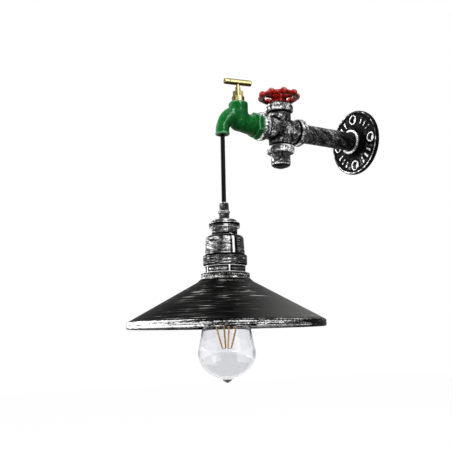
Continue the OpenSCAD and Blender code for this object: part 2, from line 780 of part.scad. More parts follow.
// Ring that locks the shade, with upright ribs round it
module lock_ring() {
    r = lock_ring_r;
    lip = 1;
    low_r = r - 0.7;
    color("gray") translate([0, spout_y, 0]) {
        rotate_extrude() polygon([[ring_bore_r, shade_top], [r - 0.3, shade_top],
            [r, shade_top + 0.3], [r, shade_top + lip], [low_r, shade_top + lip + 0.4],
            [low_r, lock_top - lip], [r, lock_top - lip + 0.4], [r, lock_top], [ring_bore_r, lock_top]]);
        intersection() {
            ring(r, low_r - 0.3, shade_top, lock_top, 0.2);
            around(lock_rib_count, -20) translate([r, 0, (shade_top + lock_top) / 2])
                cube([4, 1.6, lock_ring_h], center = true);
        }
    }
}

// Porcelain core: a cup whose ceiling holds the centre contact
module socket_core() {
    color("white") translate([0, spout_y, 0]) difference() {
        ring(core_r, 0, core_foot, core_top - seat, 0.8);
        bore(screw_shell_r + screw_shell_wall + fit, core_foot - past, core_ceiling);
        for (side = [-1, 1]) translate([side * core_r / 2, 0, core_ceiling - past])
            cylinder(r = 1.8, h = core_top - core_ceiling + 2 * past);
    }
}

// Screw shell of the lampholder
module socket_shell() {
    outer = screw_shell_r + screw_shell_wall;
    inset = 1;
    color("goldenrod") translate([0, spout_y, 0]) difference() {
        bore(outer, core_foot + inset, core_ceiling - 2 * inset);
        bore(screw_shell_r, core_foot, core_ceiling - inset);
    }
}

// Contact disc with a domed button that the bulb presses
module centre_contact() {
    low = core_ceiling - contact_t;
    color("goldenrod") translate([0, spout_y, 0]) rotate_extrude() polygon(concat(
        [[0, core_ceiling], [5, core_ceiling], [5, low]],
        curve([3, low], [2.6, low - contact_dome * 0.7], [1.6, low - contact_dome], [0, low - contact_dome], 6)));
}

// Outside of the shade from the hole in its top to the foot of its rim
function shade_outline() = let (r = shade_d / 2)
    concat([[ring_bore_r, shade_top]],
    arc(collar_outer_r - cast_edge, shade_top - cast_edge, cast_edge, 90, 0, 4),
    curve([collar_outer_r, shade_top - collar_h + 1.2], [collar_outer_r + 0.4, shade_top - collar_h - 0.8],
        [collar_outer_r + 1.8, shade_top - collar_h - 1.4], [collar_outer_r + 3.8, shade_top - collar_h - 2.4], 6),
    curve([r - 4.5, shade_foot + rim_h + 2.2], [r - 2, shade_foot + rim_h + 0.9],
        [r, shade_foot + rim_h + 0.2], [r, shade_foot + rim_h - 2], 6),
    [[r, shade_foot + 0.4]]);

// Spun metal shade: collar, shallow cone and an upright rim with a rolled edge
module shade() {
    edge_r = shade_d / 2 - 1.1;
    color("dimgray") translate([0, spout_y, 0]) {
        rotate_extrude() polygon(wall_outline(shade_outline(), -shade_wall));
        rotate_extrude() translate([edge_r, shade_foot + 1.1]) circle(r = 1.1, $fn = 24);
    }
}

// Ring inside the shade's collar that clamps the shade on the spigot
module clamp_ring() {
    outer = min(collar_outer_r - shade_wall - seat, ring_bore_r + 3.9);
    color("gray") translate([0, spout_y, 0]) difference() {
        ring(outer, ring_bore_r, clamp_top - clamp_h, clamp_top, 0.5);
        around(8) translate([outer, 0, clamp_top - clamp_h - past])
            cylinder(r = 0.9, h = clamp_h - 1);
    }
}

// Screw cap of the bulb
module bulb_cap() {
    r = bulb_cap_d / 2;
    neck = 2.4;
    color("silver") translate([0, spout_y, 0]) rotate_extrude() polygon(wall_outline(concat(
        [[r - neck, bulb_cap_top]], arc(r - 1.4, bulb_cap_top - 1.4, 1.4, 70, 0, 4),
        [[r, bulb_cap_foot]]), -bulb_cap_wall));
}

// Cone of black glass between the cap and the contact
module bulb_insulator() {
    color("black") translate([0, spout_y, bulb_cap_top - bulb_cap_wall])
        cylinder(r1 = bulb_cap_d / 2 - 2.9, r2 = 4.6, h = insulator_h + bulb_cap_wall);
}

module bulb_contact() {
    color("silver") translate([0, spout_y, 0]) rotate_extrude() polygon(concat(
        [[0, bulb_top - bulb_button_h], [4.6, bulb_top - bulb_button_h]],
        curve([4.6, bulb_top - 1.2], [4.4, bulb_top - 0.3], [3, bulb_top], [0, bulb_top], 6)));
}

// Outside of the glass from inside the cap down to the tip
function glass_outline() = let (r = bulb_d / 2, neck_low = bulb_cap_foot - 1)
    concat([[glass_neck_r, bulb_cap_foot + 6], [glass_neck_r, neck_low + 1]],
    curve([glass_neck_r + 0.2, neck_low], [glass_neck_r + 4, neck_low - 20],
        [r - 4.4, glass_wide_z + 26], [r - 1.9, glass_wide_z + 9.5], 14),
    curve([r - 1.7, glass_wide_z + 8.6], [r - 0.9, glass_wide_z + 5], [r, glass_wide_z + 2.5],
        [r, glass_wide_z], 5),
    [for (a = [8:8:72]) [r * cos(a), glass_wide_z - (glass_wide_z - glass_low) * sin(a)]],
    [[r * cos(76), glass_low + 1.1], [4.2, glass_low - 1.3], [1.9, bulb_tip + 0.5], [0.01, bulb_tip]]);

// Clear pear-shaped envelope with the sealed tip of its pump tube
module bulb_glass() {
    outside = glass_outline();
    last = len(outside) - 1;
    inside = [for (i = [0:last - 4]) beside(outside, -glass_wall)[i]];
    color("lightblue", 0.35) translate([0, spout_y, 0]) rotate_extrude()
        polygon(concat(outside, [[0, bulb_tip], [0, glass_low + glass_wall]], backwards(inside)));
}

// Flared glass stem that carries the filaments
module bulb_stem() {
    top = bulb_cap_foot + 5;
    rim_r = glass_neck_r - glass_wall - fit;
    neck_r = rim_r / 3;
    flare_h = 0.43 * (top - stem_foot);
    color("lightblue", 0.5) translate([0, spout_y, 0]) rotate_extrude() polygon(concat(
        [[0, top], [rim_r, top]],
        curve([rim_r, top - 1], [rim_r * 0.6, top - 2], [neck_r + 0.5, top - flare_h / 2], [neck_r, top - flare_h], 6),
        [[neck_r - 0.9, stem_foot + 3], [neck_r - 1.4, stem_foot], [0, stem_foot]]));
}

// One straight wire or stick between two points, x being the distance from the axis
module stick(p, q, d) {
    run_x = q[0] - p[0];
    run_z = q[1] - p[1];
    translate([p[0], 0, p[1]]) rotate([0, atan2(run_x, run_z), 0]) cylinder(d = d, h = norm([run_x, run_z]));
}

// Four sticks that lean together towards their feet
module filaments() {
    color("orange") translate([0, spout_y, 0]) around(4, filament_turn)
        stick([filament_foot_r, filament_foot_z], [filament_top_r, filament_top_z], filament_d);
}

// Wires from the stem to the filaments' tops, and the links between their feet
module filament_wires() {
    clear = 0.1;
    link = filament_foot_r + 0.2;
    color("silver") translate([0, spout_y, 0]) {
        around(4, filament_turn)
            stick([filament_top_r + clear, filament_top_z + clear + 0.3], [3.2, stem_foot + 4.5], wire_d);
        for (side = [0, 180]) rotate([0, 0, filament_turn + 45 + side])
            translate([link * cos(45), 0, filament_foot_z - 0.5]) rotate([90, 0, 0])
                cylinder(d = wire_d, h = link * 2 * sin(45) + 0.8, center = true);
    }
}

wall_flange();
arm_pipe();
cross_fitting();
bottom_nipple();
foot_plug();
valve_bonnet();
wheel_spindle();
spindle_clip();
hand_wheel();
wheel_nut();
tap_body();
gland_nut();
gland_packing();
tap_spindle();
tee_bar();
cord_bush();
arm_lead();
pendant_cord();
grip_nut();
grip_body();
holder_lead();
holder_cap();
holder_shell();
plain_ring();
lock_ring();
socket_core();
socket_shell();
centre_contact();
shade();
clamp_ring();
bulb_cap();
bulb_insulator();
bulb_contact();
bulb_glass();
bulb_stem();
filaments();
filament_wires();
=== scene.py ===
import bmesh
import bpy
import numpy as np
from mathutils import Matrix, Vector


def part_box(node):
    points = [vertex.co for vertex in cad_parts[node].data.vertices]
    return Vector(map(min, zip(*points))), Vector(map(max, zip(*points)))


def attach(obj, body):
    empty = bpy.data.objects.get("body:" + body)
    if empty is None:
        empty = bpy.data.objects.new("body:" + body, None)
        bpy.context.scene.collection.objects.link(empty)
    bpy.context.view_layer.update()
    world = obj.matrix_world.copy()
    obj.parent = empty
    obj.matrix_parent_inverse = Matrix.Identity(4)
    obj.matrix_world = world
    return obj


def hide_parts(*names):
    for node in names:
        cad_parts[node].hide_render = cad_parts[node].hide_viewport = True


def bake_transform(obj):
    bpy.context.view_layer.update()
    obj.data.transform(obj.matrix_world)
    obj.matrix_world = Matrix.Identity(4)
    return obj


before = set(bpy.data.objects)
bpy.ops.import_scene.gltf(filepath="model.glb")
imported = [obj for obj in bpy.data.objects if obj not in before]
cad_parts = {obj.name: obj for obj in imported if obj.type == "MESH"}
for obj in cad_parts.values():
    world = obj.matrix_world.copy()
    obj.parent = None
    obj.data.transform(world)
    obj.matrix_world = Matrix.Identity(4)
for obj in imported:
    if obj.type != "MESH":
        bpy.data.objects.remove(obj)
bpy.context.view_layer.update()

MM = 0.001


# The set: a pale floor far below the lamp, a white surround and soft lamps.
# The camera looks slightly up at the lamp from its front left.
def stand(thing, *axes_and_place):
    """Adds a thing to the scene with its x, y and z axes along three directions, at a place."""
    thing.matrix_world = Matrix(np.column_stack(axes_and_place).tolist() + [[0, 0, 0, 1]])
    bpy.context.scene.collection.objects.link(thing)


# The camera's turn, rise and roll are in degrees. It stands aside, above and away from target by
# so many millimetres along its own axes, and its focal length is in pixels of the frame.
turn, rise, roll = np.radians([57.944, -9.17, -1.179])
aside, above, away = -31.558, -0.757, 741.309
focal_px, image_px, sensor = 699.069, 452, 36
target = np.array([0, -150, -110]) * MM
back = np.array([np.sin(turn) * np.cos(rise), -np.cos(turn) * np.cos(rise), np.sin(rise)])
level = np.array([np.cos(turn), np.sin(turn), 0])
upright = np.cross(back, level)
right = np.cos(roll) * level + np.sin(roll) * upright
up = np.cos(roll) * upright - np.sin(roll) * level
lens = bpy.data.cameras.new("camera")
lens.lens = focal_px * sensor / image_px
lens.clip_start = 0.01
camera = bpy.data.objects.new("camera", lens)
stand(camera, right, up, back, target + (aside * right + above * up + away * back) * MM)
bpy.context.scene.camera = camera
bpy.context.scene.view_settings.view_transform = "Standard"


class Value:
    """A socket of a material, on which sums are written as plain Python expressions."""

    def __init__(self, finish, socket):
        self.finish, self.socket = finish, socket

    def sum(self, kind, *terms):
        """Math node of this kind on these terms."""
        return self.finish.node("Math", {"operation": kind}, dict(enumerate(terms)))

    def __add__(self, other):
        return self.sum("ADD", self, other)

    def __sub__(self, other):
        return self.sum("SUBTRACT", self, other)

    def __rsub__(self, other):
        return self.sum("SUBTRACT", other, self)

    def __mul__(self, other):
        return self.sum("MULTIPLY", self, other)

    def __truediv__(self, other):
        return self.sum("DIVIDE", self, other)

    def __pow__(self, other):
        return self.sum("POWER", self, other)

    __radd__, __rmul__ = __add__, __mul__

    def maximum(self, other):
        return self.sum("MAXIMUM", self, other)

    def band(self, low, high):
        """0 below low, 1 above high and a smooth step between them."""
        return self.finish.node("MapRange", {"interpolation_type": "SMOOTHSTEP"}, {0: self, 1: low, 2: high})


class Finish:
    """A material in the making. Its place is the Object coordinates in millimetres."""

    def __init__(self, name):
        self.material = bpy.data.materials.new(name)
        self.material.use_nodes = True
        self.tree = self.material.node_tree
        self.tree.nodes.clear()
        self.place = self.scaled(self.node("TexCoord", output="Object"), 1 / MM)

    def node(self, kind, settings=None, values=None, output=0):
        """Adds a node: first its settings, then the values or links of its sockets."""
        made = self.tree.nodes.new("ShaderNode" + kind)
        for key, value in (settings or {}).items():
            setattr(made, key, value)
        for key, value in (values or {}).items():
            if isinstance(value, Value):
                self.tree.links.new(value.socket, made.inputs[key])
            else:
                made.inputs[key].default_value = value
        return Value(self, made.outputs[output]) if made.outputs else made

    def scaled(self, vector, by):
        """A vector times one number, or its x, y and z times three."""
        if isinstance(by, tuple):
            return self.node("VectorMath", {"operation": "MULTIPLY"}, {0: vector, 1: by})
        return self.node("VectorMath", {"operation": "SCALE"}, {0: vector, "Scale": by})

    def moved(self, vector, by):
        """A vector less another one."""
        return self.node("VectorMath", {"operation": "SUBTRACT"}, {0: vector, 1: by})

    def parts(self, vector=None):
        """The x, y and z of a vector, or of the place."""
        vector = vector or self.place
        return [self.node("SeparateXYZ", {}, {0: vector}, output=i) for i in range(3)]

    def noise(self, scale, detail=3.0, rough=0.55, vector=None, warp=0.0):
        """Cloudy noise about 0.5 with a feature about every 1 / scale millimetres."""
        return self.node("TexNoise", {}, {"Vector": vector or self.place, "Scale": scale, "Detail": detail,
                                          "Roughness": rough, "Distortion": warp})

    def mix(self, factor, first, second):
        """The first colour where factor is 0, the second where it is 1."""
        colours = [c if isinstance(c, Value) else (*c, 1) for c in (first, second)]
        return self.node("Mix", {"data_type": "RGBA"}, {0: factor, 6: colours[0], 7: colours[1]}, output=2)

    def bump(self, height, depth, strength=1.0):
        """Relief of a height, depth millimetres deep."""
        return self.node("Bump", {}, {"Height": height, "Distance": depth * MM, "Strength": strength})

    def wear(self):
        """The wear that the mesh carries: above 0 on edges, below 0 in corners."""
        return self.node("Attribute", {"attribute_name": "wear"}, output=2)

    def facing(self, way):
        """How far the surface looks a way: the dot product of its normal with it."""
        normal = self.node("TexCoord", output="Normal")
        return self.node("VectorMath", {"operation": "DOT_PRODUCT"}, {0: normal, 1: way}, output=1)

    def done(self, sockets):
        """Closes the material with a Principled surface that has these sockets."""
        surface = self.node("BsdfPrincipled", {}, sockets)
        self.node("OutputMaterial", {}, {"Surface": surface})
        return self.material


def store_wear(mesh, wear):
    """Stores a number for each point on a mesh: above 0 on worn edges, below 0 in grooves."""
    values = np.ravel(wear).astype(np.float32)
    mesh.attributes.new("wear", "FLOAT", "POINT").data.foreach_set("value", values)


def shown(name, points, faces, wear=None):
    """Object with a smooth mesh of these points and faces, welded, closed and turned outwards."""
    mesh = bpy.data.meshes.new(name)
    mesh.from_pydata(points.reshape(-1, 3).tolist(), [], faces.tolist())
    if wear is not None:
        store_wear(mesh, wear)
    work = bmesh.new()
    work.from_mesh(mesh)
    bmesh.ops.remove_doubles(work, verts=work.verts, dist=1e-6)
    bmesh.ops.recalc_face_normals(work, faces=work.faces)
    work.to_mesh(mesh)
    work.free()
    mesh.polygons.foreach_set("use_smooth", np.ones(len(mesh.polygons), bool))
    made = bpy.data.objects.new(name, mesh)
    bpy.context.scene.collection.objects.link(made)
    return made


def quads(rows, columns, closed):
    """Faces of a grid whose columns close on themselves, and its rows too where closed."""
    index = np.arange(rows * columns).reshape(rows, columns)
    low = index if closed else index[:-1]
    high = np.roll(index, -1, 0) if closed else index[1:]
    return np.stack([low, np.roll(low, -1, 1), np.roll(high, -1, 1), high], -1).reshape(-1, 4)


# The floor lies 0.9 m below the arm and runs 9 m each way. It and the surround are white to the
# camera, in gloss and through glass, and light the rest more softly. Four square lamps stand round.
floor_finish = Finish("floor")
by_eye, by_gloss, by_glass = [floor_finish.node("LightPath", output=kind)
                              for kind in ("Is Camera Ray", "Is Glossy Ray", "Is Transmission Ray")]
seen = by_eye.maximum(by_gloss).maximum(by_glass)
pale = floor_finish.node("BsdfDiffuse", {}, {"Color": (0.8, 0.8, 0.8, 1)})
white = floor_finish.node("Emission", {}, {"Color": (1, 1, 1, 1), "Strength": 0.7})
both = floor_finish.node("AddShader", {}, {0: pale, 1: white})
floor_surface = floor_finish.node("MixShader", {}, {0: seen, 1: pale, 2: both})
floor_finish.node("OutputMaterial", {}, {"Surface": floor_surface})
wide, deep = 9, -0.9
corners = np.array([[-wide, -wide, deep], [wide, -wide, deep], [wide, wide, deep], [-wide, wide, deep]])
floor = shown("floor", corners, np.array([[0, 1, 2, 3]]))
floor.data.materials.append(floor_finish.material)
world = bpy.data.worlds.new("surround")
world.use_nodes = True
bpy.context.scene.world = world
sky = world.node_tree
ray = sky.nodes.new("ShaderNodeLightPath")
to_eye, to_gloss = [sky.nodes.new("ShaderNodeMath") for _ in range(2)]
to_eye.operation = to_gloss.operation = "MAXIMUM"
sky.links.new(ray.outputs["Is Camera Ray"], to_eye.inputs[0])
sky.links.new(ray.outputs["Is Glossy Ray"], to_gloss.inputs[0])
sky.links.new(ray.outputs["Is Transmission Ray"], to_gloss.inputs[1])
sky.links.new(to_gloss.outputs[0], to_eye.inputs[1])
power = sky.nodes.new("ShaderNodeMapRange")
power.inputs["To Min"].default_value = 0.36
power.inputs["To Max"].default_value = 1.0
sky.links.new(to_eye.outputs[0], power.inputs["Value"])
sky.nodes["Background"].inputs["Color"].default_value = (1, 1, 1, 1)
sky.links.new(power.outputs[0], sky.nodes["Background"].inputs["Strength"])
lit = np.array([0, -0.13, -0.08])
for name, place, size, watts in (
        ("lamp_left", (-0.9, -1.0, 0.45), 0.8, 14), ("lamp_right", (1.25, -0.15, 0.35), 0.7, 8),
        ("lamp_top", (0.1, -0.5, 1.3), 1.0, 8), ("lamp_low", (0.2, -1.1, -0.75), 0.7, 3)):
    light = bpy.data.lights.new(name, "AREA")
    light.size, light.energy = size, watts
    aim = np.array(place) - lit
    aim /= np.linalg.norm(aim)
    side = np.cross([0, 0, 1], aim)
    side /= np.linalg.norm(side)
    stand(bpy.data.objects.new(name, light), side, np.cross(aim, side), aim, place)


# The flex: black round sheath of 4.7 mm, hanging straight from the spout to the cord grip.
SPOUT = np.array([0, -189.2, 0])


def tube(name, route, radius, sides=32):
    """Round tube: point (i, j) is route_i + radius * (cos a_j * X + sin a_j * (tangent_i x X)).

    Its two ends are closed to a point.
    """
    route = np.array(route, float)
    tangent = np.gradient(route, axis=0)
    tangent /= np.linalg.norm(tangent, axis=1)[:, None]
    across = np.cross(tangent, [1.0, 0, 0])
    angle = np.linspace(0, 2 * np.pi, sides, endpoint=False)[None, :, None]
    grid = route[:, None] + radius * (np.cos(angle) * [1.0, 0, 0] + np.sin(angle) * across[:, None])
    ends = [np.broadcast_to(route[i], (1, sides, 3)) for i in (0, -1)]
    grid = np.concatenate([ends[0], grid, ends[1]])
    return shown(name, grid * MM, quads(len(grid), sides, False))


def sheath(name):
    """Soft black plastic: faint long streaks of dust and a fine orange-peel surface."""
    f = Finish(name)
    dust = f.noise(0.25, 4, 0.6, f.scaled(f.place, (1.0, 1.0, 0.25))).band(0.45, 0.75)
    pores = f.noise(2.6, 2)
    return f.done({"Base Color": f.mix(dust, (0.0015, 0.0015, 0.0017), (0.006, 0.006, 0.007)),
                   "Roughness": pores * 0.12 + 0.3, "Normal": f.bump(pores, 0.05, 0.4),
                   "Specular IOR Level": 0.06})


leaves_bush, enters_grip, flex_radius = -15.9, -89.3, 2.35
flex_drop = np.linspace(leaves_bush, enters_grip, 40)
flex_route = SPOUT + np.column_stack([0 * flex_drop, 0 * flex_drop, flex_drop])
flex = tube("flex", flex_route, flex_radius)
flex.data.materials.append(sheath("flex_sheath"))
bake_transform(flex)
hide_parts("pendant_cord")


# The wall flange: an iron casting, blackened and rubbed bright where hands and cloths reach.
# Four countersunk holes in ringed bosses take the wall screws, and its hub takes the pipe.
def eased(points, ends, rounds, pull=1.0):
    """Points moved rounds times towards the mean of their neighbours along the edges."""
    count = np.bincount(ends.ravel(), minlength=len(points))[:, None].clip(1)
    for _ in range(rounds):
        mean = np.stack([np.bincount(ends[:, 0], points[ends[:, 1], k], len(points))
                         + np.bincount(ends[:, 1], points[ends[:, 0], k], len(points)) for k in range(3)], -1)
        points = points + pull * (mean / count - points)
    return points


def array_of(items, key, size, kind=np.float32):
    """One property of all vertices, edges or faces as an array of size columns."""
    values = np.empty(len(items) * size, kind)
    items.foreach_get(key, values)
    return values.reshape(-1, size)


def filled(points, ends, faces, rounds, where):
    """Points with the corners between two forms filled.

    In each round a point rises along its normal where its neighbours' mean lies above it, and never
    sinks. where gives each point's share from 0 to 1, and every fourth round the normals are new.
    """
    for turn in range(rounds):
        if turn % 4 == 0:
            across = points[faces[:, 2]] - points[faces[:, 0]], points[faces[:, 3]] - points[faces[:, 1]]
            flat = np.cross(*across)
            facing = np.stack([sum(np.bincount(faces[:, c], flat[:, k], len(points)) for c in range(4))
                               for k in range(3)], -1)
            facing /= np.linalg.norm(facing, axis=1)[:, None].clip(1e-9)
        rise = np.sum((eased(points, ends, 1) - points) * facing, 1).clip(0) * where(points)
        points = points + rise[:, None] * facing
    return points


def casting(name, node, grain, rounds, carve=None, fill=0, where=None):
    """Smooth skin over a CAD node: its solid remeshed in cells of grain mm, then eased.

    carve moves the points before the easing, and fill rounds fill the corners. The wear of a point
    is its height in tenths of a millimetre over the mean of the skin about 2 mm round it: positive
    on edges, negative in corners, and never past 3 either way.
    """
    work = bmesh.new()
    work.from_mesh(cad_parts[node].data)
    bmesh.ops.remove_doubles(work, verts=work.verts, dist=1e-6)
    mesh = bpy.data.meshes.new(name)
    work.to_mesh(mesh)
    work.free()
    made = bpy.data.objects.new(name, mesh)
    bpy.context.scene.collection.objects.link(made)
    remesh = made.modifiers.new("skin", "REMESH")
    remesh.mode = "VOXEL"
    remesh.voxel_size = grain * MM
    skin = bpy.data.meshes.new_from_object(made.evaluated_get(bpy.context.evaluated_depsgraph_get()))
    made.modifiers.clear()
    made.data = skin
    bpy.data.meshes.remove(mesh)
    skin.name = name
    skin.materials.clear()
    ends = array_of(skin.edges, "vertices", 2, np.int32)
    points = array_of(skin.vertices, "co", 3).astype(float) / MM
    if carve:
        points = carve(points)
    if fill:
        faces = array_of(skin.polygons, "vertices", 4, np.int32)
        points = filled(points, ends, faces, fill, where or (lambda spots: 1))
    points = eased(points, ends, rounds, 0.6)
    skin.vertices.foreach_set("co", (points * MM).astype(np.float32).ravel())
    skin.update()
    facing = array_of(skin.vertices, "normal", 3)
    wear = 10 * np.sum((points - eased(points, ends, round(8 / grain))) * facing, 1)
    store_wear(skin, wear.clip(-3, 3))
    skin.polygons.foreach_set("use_smooth", np.ones(len(skin.polygons), bool))
    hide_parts(node)
    return made


def placed(made, body, material):
    """Gives a finished piece its material and its body."""
    made.data.materials.append(material)
    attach(made, body)


def flange_marks(points):
    """Raises short radial bars by 0.55 mm between the screw bosses, where a casting has its marks."""
    radius = np.hypot(points[:, 0], points[:, 2])
    angle = np.degrees(np.arctan2(points[:, 2], points[:, 0]))
    bar = np.cos(np.radians(angle * 24)) > 0.35
    between = np.abs((angle + 360) % 90 - 45) < 22
    front = (points[:, 1] < -3.9) & (points[:, 1] > -4.6)
    belt = (radius > 23.5) & (radius < 31.5)
    lifted = points.copy()
    lifted[:, 1] -= 0.55 * (bar & between & front & belt)
    return lifted


def worn_black(name, level, rub, cloud, streak=(1, 1, 1), turn=(0, 0, 0), grain=0.5, depth=0.12, more=None):
    """Black paint dusted with silver: three tones of one height that edges, clouds and specks build.

    level is how much stays black, rub the weight of the wear and cloud that of the large patches.
    The pattern has a speck about every 1 / grain millimetres, packed streak times as close along
    each axis after a turn, and stands depth millimetres proud. Painted light lays more silver where
    the skin looks up and to the front left, as lit from there. more adds to the height.
    """
    black, dusted, silver = (0.0015, 0.0015, 0.0017), (0.085, 0.085, 0.087), (0.78, 0.78, 0.78)
    f = Finish(name)
    wear = f.wear()
    lie = f.scaled(f.node("Mapping", {}, {"Vector": f.place, "Rotation": turn}), streak)
    speck = f.noise(grain, 5, 0.72, lie, 0.2) * 4.2 - 2.1
    patch = f.noise(grain * 0.22, 3, 0.6, lie, 0.3) * 3.4 - 1.7
    # The facing term is painted light: the skin turns lighter where it faces the upper front left.
    height = speck * 1.3 + patch * cloud + wear * rub + f.facing((-0.35, -0.35, 0.55)) * 0.45 - level
    if more:
        height = height + more(f)
    hollow = (wear * -1.3).band(0.15, 0.9)
    grey, bright = height.band(-0.8, 0.35) * (1 - hollow), height.band(0.3, 1.0) * (1 - hollow)
    return f.done({"Base Color": f.mix(bright, f.mix(grey, black, dusted), silver), "Metallic": bright * 0.8,
                   "Roughness": speck * 0.06 + 0.45, "Normal": f.bump(height, depth, 0.8),
                   "Specular IOR Level": 0.02})


def flange_rub(f):
    """Keeps the flange's silver on its front and off the side of its rim and the foot of its hub."""
    across, _, height = f.parts()
    radius = (across * across + height * height) ** 0.5
    side = radius.band(37.1, 37.7)
    line = radius.band(36, 36.5) * (1 - radius.band(36.6, 37.1))
    low = (across * 0.4 - height).band(5, 30) * radius.band(16, 20)
    return line * 0.7 - side * 2.5 - radius.band(35.2, 36) * 0.9 + low * 0.6 - radius.band(12, 14.5) * 0.3


placed(casting("wall_flange_casting", "wall_flange", 0.55, 2, flange_marks), "arm",
       worn_black("black_iron", 0.5, 0.5, 0.9, more=flange_rub))


# The pipe: drawn half-inch steel, blackened and then scratched bright with a coarse cloth.
# It screws into the flange's hub and into the near end of the cross.
def rounded(outline, corner):
    """Closed outline of (r, z) or (r, z, rounding) with each corner turned to an arc, and its wear.

    The arc is (1 - t)^2 a + 2 t (1 - t) c + t^2 b, with c the corner and a and b the points where
    it leaves the two sides, which lie at most 0.42 of the shorter side from c. The wear is 1 on an
    outer corner and -1 in an inner one, less on a blunt one, and falls to 0 within 0.7 mm of it.
    """
    spots = [tuple(p) + (corner,) * (3 - len(p)) for p in outline]
    path, wear = [], []
    for before, here, after in zip(spots[-1:] + spots[:-1], spots, spots[1:] + spots[:1]):
        at = np.array(here[:2])
        back, ahead = np.array(before[:2]) - at, np.array(after[:2]) - at
        reach = np.linalg.norm(back), np.linalg.norm(ahead)
        back, ahead = back / reach[0], ahead / reach[1]
        outward = back[0] * ahead[1] - back[1] * ahead[0]
        bend = np.pi - np.arccos(np.clip(back @ ahead, -1, 1))
        if at[0] < 1e-6 or bend < 0.12:
            path.append(at[None])
            wear.append([0])
            continue
        cut = min(here[2] * np.tan(bend / 2), 0.42 * min(reach))
        share = np.linspace(0, 1, 6)[:, None]
        first, last = at + back * cut, at + ahead * cut
        arc = first * (1 - share) ** 2 + 2 * at * share * (1 - share) + last * share ** 2
        near = [min(cut + 0.7, 0.48 * r) for r in reach]
        path.append(np.concatenate([[at + back * near[0]], arc, [at + ahead * near[1]]]))
        level = -np.sign(outward) * min(1, bend / 1.2)
        wear.append([0] + [level] * len(share) + [0])
    return np.concatenate(path), np.concatenate(wear)


def turned(name, outline, middle=(0, 0), corner=0.4, sides=128, arm=False, flats=None, wave=None):
    """Turned piece: point (i, j) of the outline is (r_i cos a_j, r_i sin a_j, z_i), off by middle.

    The outline runs anticlockwise as seen with r to the right. arm lays the piece along the pipe.
    flats = (low, high, width, turn) cuts six flats between two heights: the radius is at most
    width / 2 / cos(a - the flat's middle), and the corners are taken off from 27.5 degrees on.
    wave(r, z, a) gives another radius.
    """
    path, wear = rounded(outline, corner)
    angle = np.linspace(0, 2 * np.pi, sides, endpoint=False)[None]
    radius, height = [np.repeat(c[:, None], sides, 1) for c in path.T]
    worn = np.repeat(wear[:, None], sides, 1).astype(float)
    if wave:
        radius = wave(radius, height, angle)
    if flats:
        low, high, width, turn = flats
        swing = (angle - np.radians(turn)) % (np.pi / 3) - np.pi / 6
        limit = np.minimum(width / 2 / np.cos(swing), width / 2 / np.cos(np.radians(27.5)))
        cut = (height >= low - 1e-6) & (height <= high + 1e-6) & (radius > limit)
        worn = np.where(cut & (np.abs(swing) > np.radians(25)), 1.0, worn)
        radius = np.where(cut, limit, radius)
    across, over = radius * np.cos(angle), radius * np.sin(angle)
    if arm:
        grid = np.stack([across, -height, over], -1) + [middle[0], 0, middle[1]]
    else:
        grid = np.stack([across + middle[0], over + middle[1], height], -1)
    return shown(name, grid * MM, quads(len(path), sides, True), worn)


def pipe_rub_and_shade(f):
    """More silver half-way along the pipe, and painted shade that takes silver off it towards the flange."""
    along = f.parts()[1]
    return along.band(-96, -70) * 0.25 - along.band(-44, -20) * 0.55


rubbed_steel = worn_black("rubbed_steel", 0.32, 0.5, 0.9, (1.0, 0.34, 1.5), (0.6, 0, 0), 0.7, 0.1, pipe_rub_and_shade)
pipe = turned("pipe_tube", [(8.05, 0.6), (10.65, 0.6), (10.65, 97), (8.05, 97)],
              corner=0.6, arm=True, sides=144)
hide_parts("arm_pipe")
placed(pipe, "arm", rubbed_steel)


# The four-way cross: malleable iron with a round bead at each end, dusted with silver on black.
# The pipe, the nipple, the bonnet and the tap screw into its four ends.
CROSS = np.array([0, -114.0, 0])
cross_finish = worn_black("cast_cross", -0.05, 0.22, 1.2)


def cross_heart(points):
    """1 within 16 mm of the middle of the cross, where its four arms run together."""
    return np.linalg.norm(points - CROSS, axis=1) < 16


placed(casting("cross_casting", "cross_fitting", 0.5, 2, fill=60, where=cross_heart),
       "arm", cross_finish)


# The nipple: a short piece of the same steel pipe, screwed into the lower end of the cross.
# A moulded black plug is pushed into it and shuts it.
nipple = turned("nipple_tube", [(8.05, -40.5), (10.65, -40.5), (10.65, -15), (8.05, -15)], CROSS[:2], 0.7)
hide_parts("bottom_nipple")
placed(nipple, "arm", worn_black("nipple_steel", -0.15, 0.8, 1.4, (1, 1, 0.7)))


def moulded(name, colour, rough=0.4):
    """Moulded plastic: a fine orange-peel skin that varies a little in gloss."""
    f = Finish(name)
    pores = f.noise(1.8, 3)
    dust = f.noise(0.2, 4).band(0.4, 0.8)
    return f.done({"Base Color": f.mix(dust, colour, tuple(1.8 * c + 0.002 for c in colour)),
                   "Roughness": pores * 0.15 + rough, "Normal": f.bump(pores, 0.06, 0.5),
                   "Specular IOR Level": 0.04})


black_plastic = moulded("black_plastic", (0.003, 0.003, 0.0035))
plug = turned("foot_plug_moulding", [(0, -44.1), (3, -44.1, 0.8), (8.6, -42.2, 3), (10.2, -40.9, 0.6),
                                     (10.2, -40.5, 0.2), (7.95, -40.5, 0.1), (7.95, -33.5), (0, -33.5)],
              CROSS[:2], 0.5)
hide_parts("foot_plug")
placed(plug, "arm", black_plastic)


